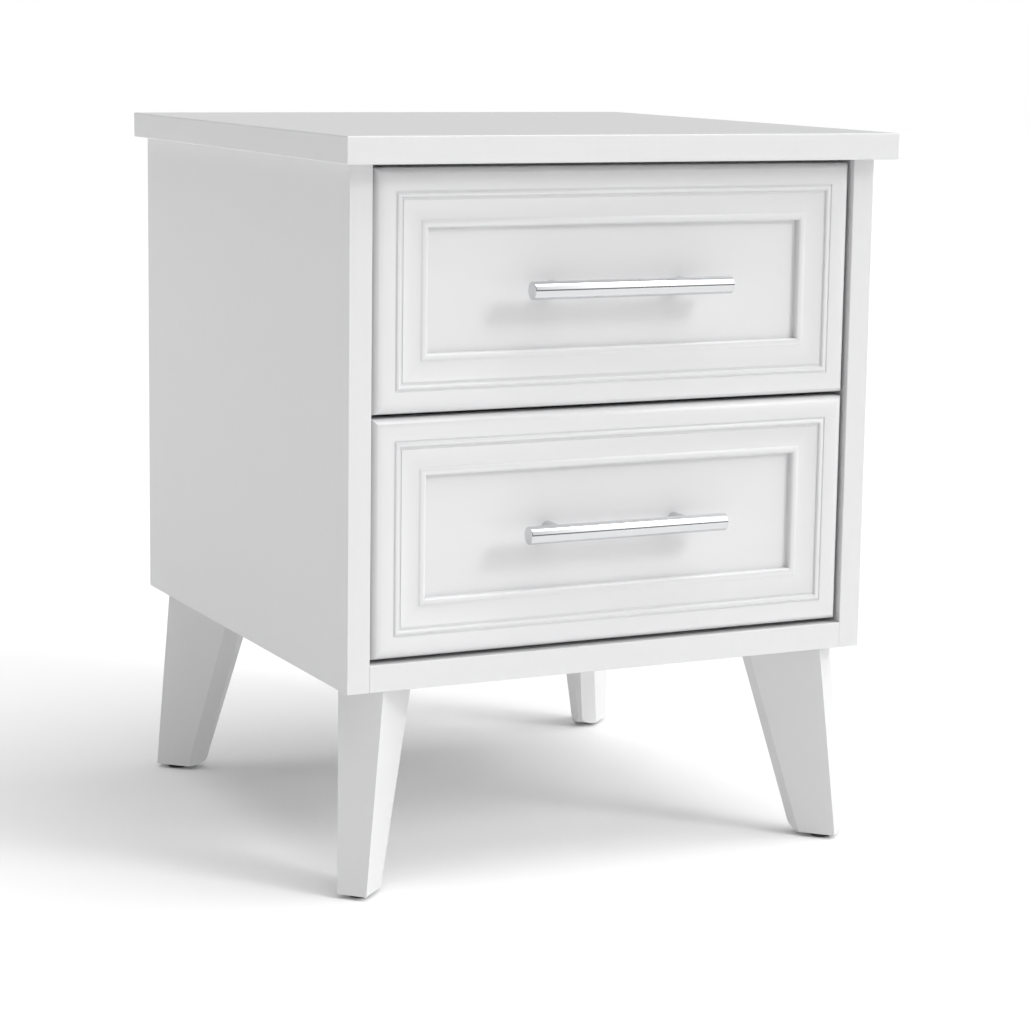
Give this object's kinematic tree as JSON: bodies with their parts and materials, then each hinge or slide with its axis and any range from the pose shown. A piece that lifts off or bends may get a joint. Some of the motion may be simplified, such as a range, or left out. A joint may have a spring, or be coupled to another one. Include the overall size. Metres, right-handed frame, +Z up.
{
  "type": "nightstand with drawers",
  "caption": "White bedside cabinet with framed inset drawer fronts, slim bar handles, an overhanging top and splayed tapered legs; the drawers slide on ball-bearing runners.",
  "frame": {"origin": "on the floor, at the bottom centre of the whole nightstand with its drawers closed, handles included", "axes": "+Z up, the drawer fronts face -Y, +X to the right of somebody who faces the drawers"},
  "size_m": [0.408, 0.4172, 0.5],
  "materials": {
    "front_lacquer": "satin white lacquer on moulded fibreboard",
    "case_board": "satin white melamine-faced board",
    "leg_lacquer": "satin white lacquer on solid wood",
    "box_board": "matt white foil-wrapped board",
    "thin_board": "white-faced hardboard",
    "handle_chrome": "polished chrome",
    "runner_steel": "zinc-plated rolled steel",
    "ball_steel": "polished bearing steel",
    "fixing_steel": "zinc-plated steel",
    "cam_zinc": "die-cast zinc",
    "dowel_beech": "plain beech",
    "glide_plastic": "dark moulded plastic"
  },
  "bodies": {
    "cabinet": {"back_nails": "fixing_steel", "back_panel": "thin_board", "bottom_panel": "case_board", "case_cam_bolts": "fixing_steel", "case_cam_nuts": "cam_zinc", "case_dowels": "dowel_beech", "case_runner_screws": "fixing_steel", "foot_glides": "glide_plastic", "front_left_leg": "leg_lacquer", "front_right_leg": "leg_lacquer", "front_top_rail": "case_board", "left_side_panel": "case_board", "leg_screws": "fixing_steel", "lower_left_case_runner": "runner_steel", "lower_right_case_runner": "runner_steel", "rear_left_leg": "leg_lacquer", "rear_right_leg": "leg_lacquer", "rear_top_rail": "case_board", "right_side_panel": "case_board", "top_panel": "case_board", "top_screws": "fixing_steel", "upper_left_case_runner": "runner_steel", "upper_right_case_runner": "runner_steel"},
    "lower_drawer": {"lower_drawer_back": "box_board", "lower_drawer_bottom": "thin_board", "lower_drawer_cam_bolts": "fixing_steel", "lower_drawer_cam_nuts": "cam_zinc", "lower_drawer_front": "front_lacquer", "lower_drawer_left_side": "box_board", "lower_drawer_right_side": "box_board", "lower_drawer_runner_screws": "fixing_steel", "lower_drawer_screws": "fixing_steel", "lower_handle_bar": "handle_chrome", "lower_handle_posts": "handle_chrome", "lower_handle_screws": "fixing_steel", "lower_left_drawer_runner": "runner_steel", "lower_right_drawer_runner": "runner_steel"},
    "upper_drawer": {"upper_drawer_back": "box_board", "upper_drawer_bottom": "thin_board", "upper_drawer_cam_bolts": "fixing_steel", "upper_drawer_cam_nuts": "cam_zinc", "upper_drawer_front": "front_lacquer", "upper_drawer_left_side": "box_board", "upper_drawer_right_side": "box_board", "upper_drawer_runner_screws": "fixing_steel", "upper_drawer_screws": "fixing_steel", "upper_handle_bar": "handle_chrome", "upper_handle_posts": "handle_chrome", "upper_handle_screws": "fixing_steel", "upper_left_drawer_runner": "runner_steel", "upper_right_drawer_runner": "runner_steel"},
    "lower_left_cage": {"lower_left_ball_cage": "runner_steel", "lower_left_balls": "ball_steel"},
    "lower_right_cage": {"lower_right_ball_cage": "runner_steel", "lower_right_balls": "ball_steel"},
    "upper_left_cage": {"upper_left_ball_cage": "runner_steel", "upper_left_balls": "ball_steel"},
    "upper_right_cage": {"upper_right_ball_cage": "runner_steel", "upper_right_balls": "ball_steel"}
  },
  "joints": [
    {"name": "lower_drawer_slide", "type": "slide", "parent": "cabinet", "child": "lower_drawer", "axis": [0, -1, 0], "range_m": [0, 0.221]},
    {"name": "lower_left_cage_slide", "type": "slide", "parent": "cabinet", "child": "lower_left_cage", "axis": [0, -1, 0], "range_m": [0, 0.1105]},
    {"name": "lower_right_cage_slide", "type": "slide", "parent": "cabinet", "child": "lower_right_cage", "axis": [0, -1, 0], "range_m": [0, 0.1105]},
    {"name": "upper_drawer_slide", "type": "slide", "parent": "cabinet", "child": "upper_drawer", "axis": [0, -1, 0], "range_m": [0, 0.221]},
    {"name": "upper_left_cage_slide", "type": "slide", "parent": "cabinet", "child": "upper_left_cage", "axis": [0, -1, 0], "range_m": [0, 0.1105]},
    {"name": "upper_right_cage_slide", "type": "slide", "parent": "cabinet", "child": "upper_right_cage", "axis": [0, -1, 0], "range_m": [0, 0.1105]}
  ],
  "couplings": [
    {"joint": "lower_left_cage_slide", "follows": "lower_drawer_slide", "ratio": 0.5},
    {"joint": "lower_right_cage_slide", "follows": "lower_drawer_slide", "ratio": 0.5},
    {"joint": "upper_left_cage_slide", "follows": "upper_drawer_slide", "ratio": 0.5},
    {"joint": "upper_right_cage_slide", "follows": "upper_drawer_slide", "ratio": 0.5}
  ]
}
